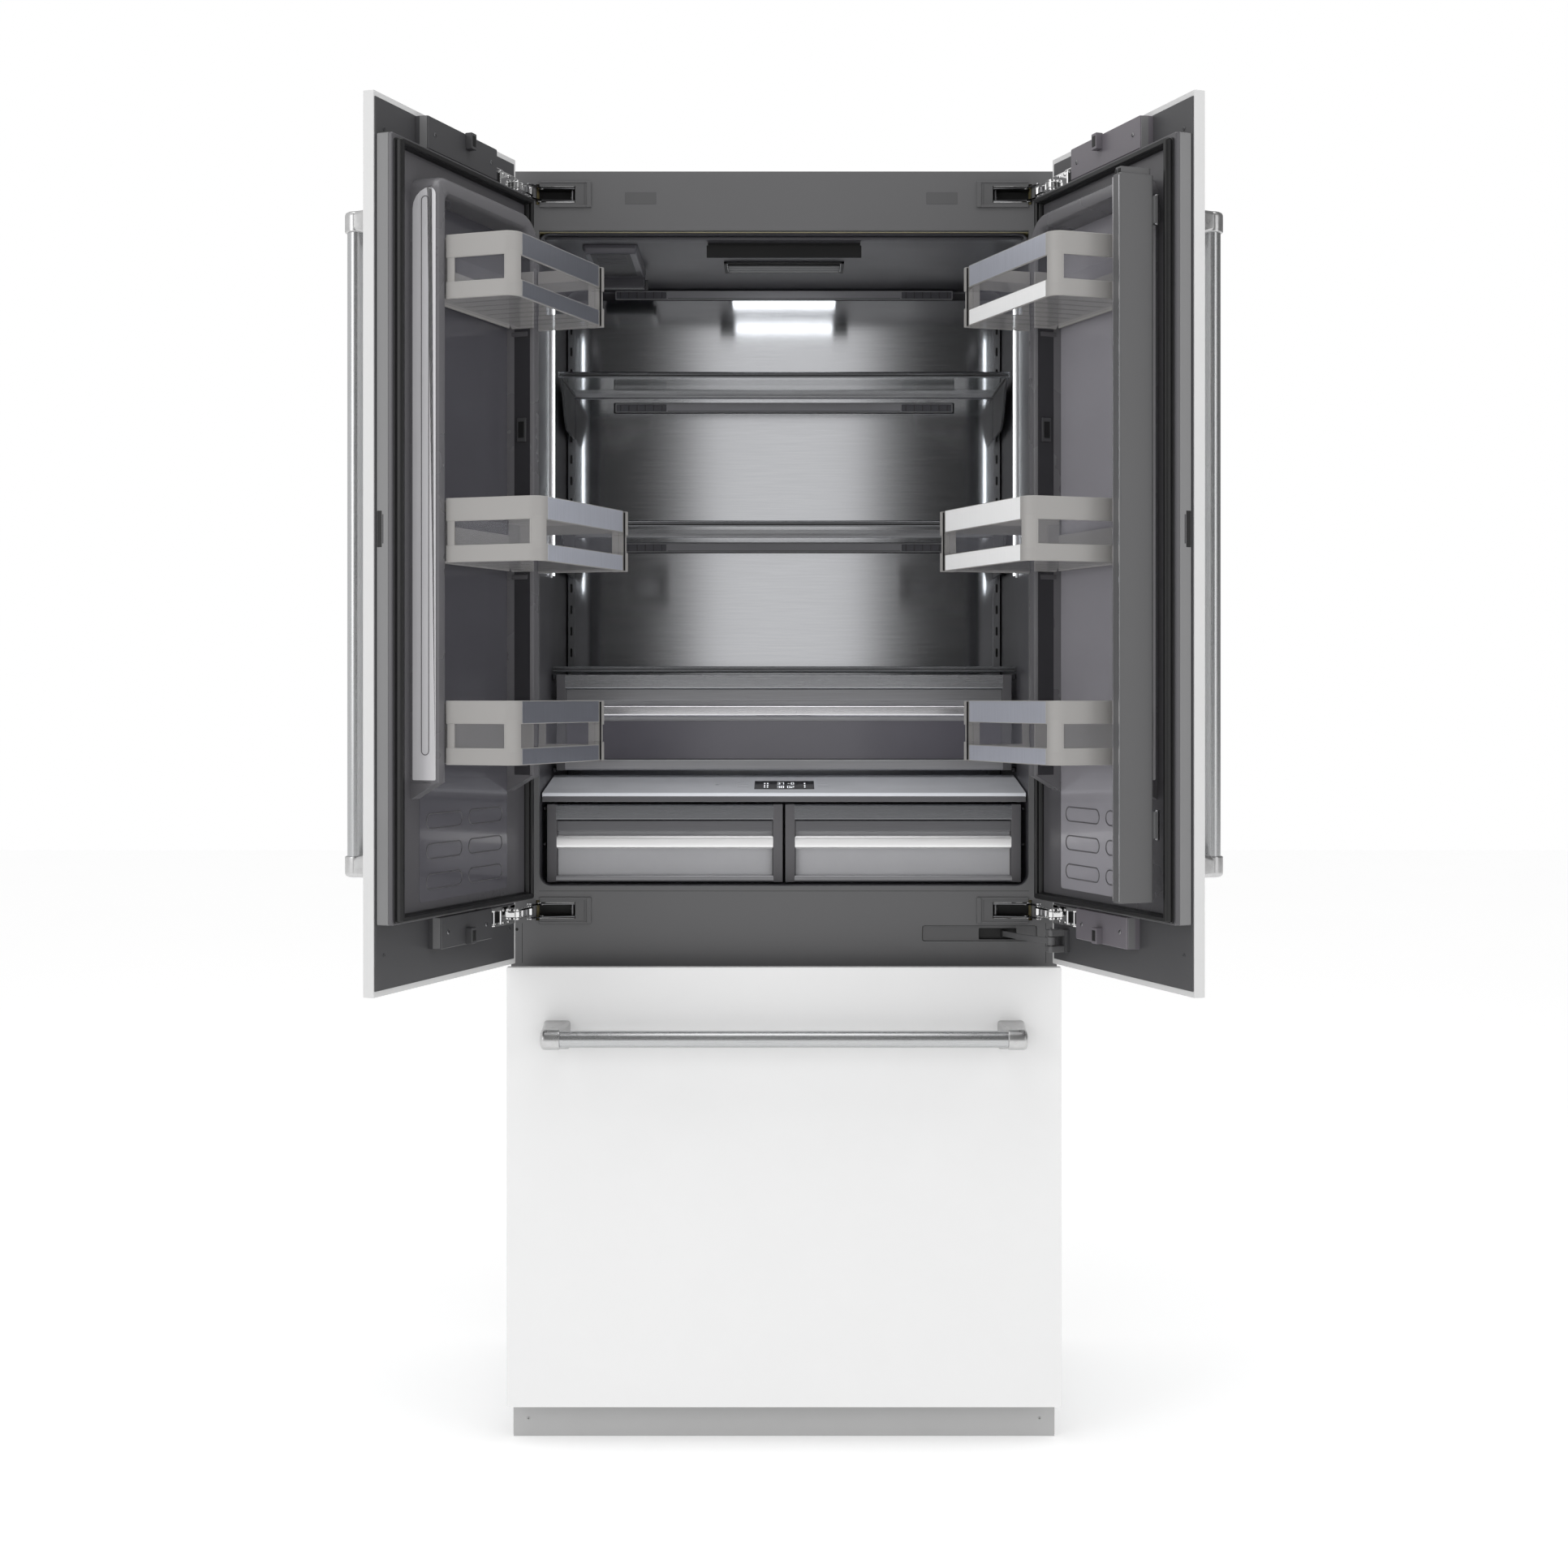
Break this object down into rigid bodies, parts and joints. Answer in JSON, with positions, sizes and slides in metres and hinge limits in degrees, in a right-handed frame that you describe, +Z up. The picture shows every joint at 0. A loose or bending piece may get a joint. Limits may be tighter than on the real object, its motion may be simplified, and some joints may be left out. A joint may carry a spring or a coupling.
{
  "type": "french door refrigerator",
  "caption": "Built-in french door refrigerator with a freezer drawer below, door bins, glass shelves, crisper drawers and tubular handles.",
  "frame": {"origin": "on the floor under the middle of the cabinet's front face, in the toe kick's bottom face", "axes": "+X to the right as a person faces the appliance, +Y into the cabinet, +Z up"},
  "size_m": [1.2986, 1.0254, 2.091],
  "materials": {
    "matte_white": "matte",
    "frame_grey": "satin",
    "cabinet_steel": "satin",
    "kick_grey": "satin",
    "liner_grey": "gloss",
    "insulation_foam": "matte",
    "gasket_rubber": "matte",
    "brushed_steel": "satin",
    "hinge_chrome": "polished",
    "bin_grey": "satin",
    "dark_plastic": "satin",
    "shelf_glass": "gloss",
    "white_plastic": "satin",
    "light_lens": "gloss",
    "drawer_clear": "gloss",
    "compressor_black": "satin",
    "galvanised_steel": "satin",
    "aluminium_fins": "satin",
    "foam_core": "gloss"
  },
  "bodies": {
    "cabinet": {"outer_cabinet": "cabinet_steel", "cabinet_foam": "insulation_foam", "fridge_liner": "liner_grey", "freezer_liner": "liner_grey", "face_frame": "frame_grey", "rear_steel_panel": "brushed_steel", "air_duct": "liner_grey", "ceiling_lamp": "light_lens", "ceiling_strip": "dark_plastic", "filter_housing": "liner_grey", "left_led_strip": "light_lens", "right_led_strip": "light_lens", "control_panel": "dark_plastic", "deli_cover": "shelf_glass", "toe_kick": "kick_grey", "base_frame": "galvanised_steel", "compressor": "compressor_black", "condenser_unit": "aluminium_fins", "machine_cover": "galvanised_steel", "freezer_evaporator": "aluminium_fins", "left_upper_hinge_base": "hinge_chrome", "left_lower_hinge_base": "hinge_chrome", "right_upper_hinge_base": "hinge_chrome", "right_lower_hinge_base": "hinge_chrome"},
    "left_door": {"left_door_panel": "matte_white", "left_mounting_plate": "dark_plastic", "left_inner_door": "foam_core", "left_door_gasket": "gasket_rubber", "left_door_handle": "brushed_steel"},
    "right_door": {"right_door_panel": "matte_white", "right_mounting_plate": "dark_plastic", "right_inner_door": "foam_core", "right_door_gasket": "gasket_rubber", "right_door_handle": "brushed_steel"},
    "left_hinge_links": {"left_upper_hinge_link": "hinge_chrome", "left_lower_hinge_link": "hinge_chrome"},
    "right_hinge_links": {"right_upper_hinge_link": "hinge_chrome", "right_lower_hinge_link": "hinge_chrome"},
    "mullion_flap": {"mullion_flap": "frame_grey"},
    "cable_arm": {"cable_arm": "frame_grey"},
    "freezer_drawer": {"freezer_panel": "matte_white", "freezer_inner_door": "foam_core", "freezer_gasket": "gasket_rubber", "freezer_handle": "brushed_steel", "freezer_basket": "white_plastic", "left_freezer_runner": "brushed_steel", "right_freezer_runner": "brushed_steel"},
    "freezer_tray": {"freezer_tray": "white_plastic"},
    "deli_drawer": {"deli_drawer": "drawer_clear"},
    "left_crisper": {"left_crisper": "drawer_clear"},
    "right_crisper": {"right_crisper": "drawer_clear"},
    "upper_shelf": {"upper_shelf": "shelf_glass"},
    "lower_shelf": {"lower_shelf": "shelf_glass"},
    "condenser_fan": {"condenser_fan": "dark_plastic"},
    "left_upper_door_bin": {"left_upper_door_bin": "bin_grey"},
    "left_middle_door_bin": {"left_middle_door_bin": "bin_grey"},
    "left_lower_door_bin": {"left_lower_door_bin": "bin_grey"},
    "right_upper_door_bin": {"right_upper_door_bin": "bin_grey"},
    "right_middle_door_bin": {"right_middle_door_bin": "bin_grey"},
    "right_lower_door_bin": {"right_lower_door_bin": "bin_grey"}
  },
  "joints": [
    {"name": "left_door_swing", "type": "hinge", "parent": "cabinet", "child": "left_door", "pos_m": [-0.446, -0.05, 0], "axis": [0, 0, -1], "range_deg": [-110, 0]},
    {"name": "right_door_swing", "type": "hinge", "parent": "cabinet", "child": "right_door", "pos_m": [0.446, -0.05, 0], "axis": [0, 0, 1], "range_deg": [-110, 0]},
    {"name": "left_hinge_link_turn", "type": "hinge", "parent": "cabinet", "child": "left_hinge_links", "pos_m": [-0.418, -0.02, 0], "axis": [0, 0, -1], "range_deg": [-148.81, 0]},
    {"name": "right_hinge_link_turn", "type": "hinge", "parent": "cabinet", "child": "right_hinge_links", "pos_m": [0.418, -0.02, 0], "axis": [0, 0, 1], "range_deg": [-148.81, 0]},
    {"name": "mullion_flap_fold", "type": "hinge", "parent": "right_door", "child": "mullion_flap", "pos_m": [0.53933, -0.45554, 0], "axis": [0, 0, -1], "range_deg": [-90.01, 0]},
    {"name": "cable_arm_turn", "type": "hinge", "parent": "right_door", "child": "cable_arm", "pos_m": [0.42944, -0.10391, 0], "axis": [0, 0, -1], "range_deg": [-168.61, 0]},
    {"name": "freezer_drawer_slide", "type": "slide", "parent": "cabinet", "child": "freezer_drawer", "axis": [0, -1, 0], "range_m": [0, 0.45]},
    {"name": "freezer_tray_slide", "type": "slide", "parent": "cabinet", "child": "freezer_tray", "axis": [0, -1, 0], "range_m": [0, 0.2475]},
    {"name": "deli_drawer_slide", "type": "slide", "parent": "cabinet", "child": "deli_drawer", "axis": [0, -1, 0], "range_m": [0, 0.28]},
    {"name": "left_crisper_slide", "type": "slide", "parent": "cabinet", "child": "left_crisper", "axis": [0, -1, 0], "range_m": [0, 0.33]},
    {"name": "right_crisper_slide", "type": "slide", "parent": "cabinet", "child": "right_crisper", "axis": [0, -1, 0], "range_m": [0, 0.33]},
    {"name": "upper_shelf_lift", "type": "slide", "parent": "cabinet", "child": "upper_shelf", "axis": [0, 0, 1], "range_m": [0, 0.02]},
    {"name": "lower_shelf_lift", "type": "slide", "parent": "cabinet", "child": "lower_shelf", "axis": [0, 0, 1], "range_m": [0, 0.02]},
    {"name": "left_upper_door_bin_lift", "type": "slide", "parent": "left_door", "child": "left_upper_door_bin", "axis": [0, 0, 1], "range_m": [0, 0.035]},
    {"name": "left_middle_door_bin_lift", "type": "slide", "parent": "left_door", "child": "left_middle_door_bin", "axis": [0, 0, 1], "range_m": [0, 0.035]},
    {"name": "left_lower_door_bin_lift", "type": "slide", "parent": "left_door", "child": "left_lower_door_bin", "axis": [0, 0, 1], "range_m": [0, 0.035]},
    {"name": "right_upper_door_bin_lift", "type": "slide", "parent": "right_door", "child": "right_upper_door_bin", "axis": [0, 0, 1], "range_m": [0, 0.035]},
    {"name": "right_middle_door_bin_lift", "type": "slide", "parent": "right_door", "child": "right_middle_door_bin", "axis": [0, 0, 1], "range_m": [0, 0.035]},
    {"name": "right_lower_door_bin_lift", "type": "slide", "parent": "right_door", "child": "right_lower_door_bin", "axis": [0, 0, 1], "range_m": [0, 0.035]},
    {"name": "condenser_fan_spin", "type": "hinge", "parent": "cabinet", "child": "condenser_fan", "pos_m": [0.075, 0.425, 0.16], "axis": [1, 0, 0], "continuous": true}
  ],
  "couplings": [
    {"joint": "left_hinge_link_turn", "follows": "left_door_swing", "ratio": 1.3527},
    {"joint": "right_hinge_link_turn", "follows": "right_door_swing", "ratio": 1.3527},
    {"joint": "mullion_flap_fold", "follows": "right_door_swing", "ratio": 0.81818},
    {"joint": "cable_arm_turn", "follows": "right_door_swing", "ratio": 1.5327},
    {"joint": "freezer_tray_slide", "follows": "freezer_drawer_slide", "ratio": 0.55}
  ]
}
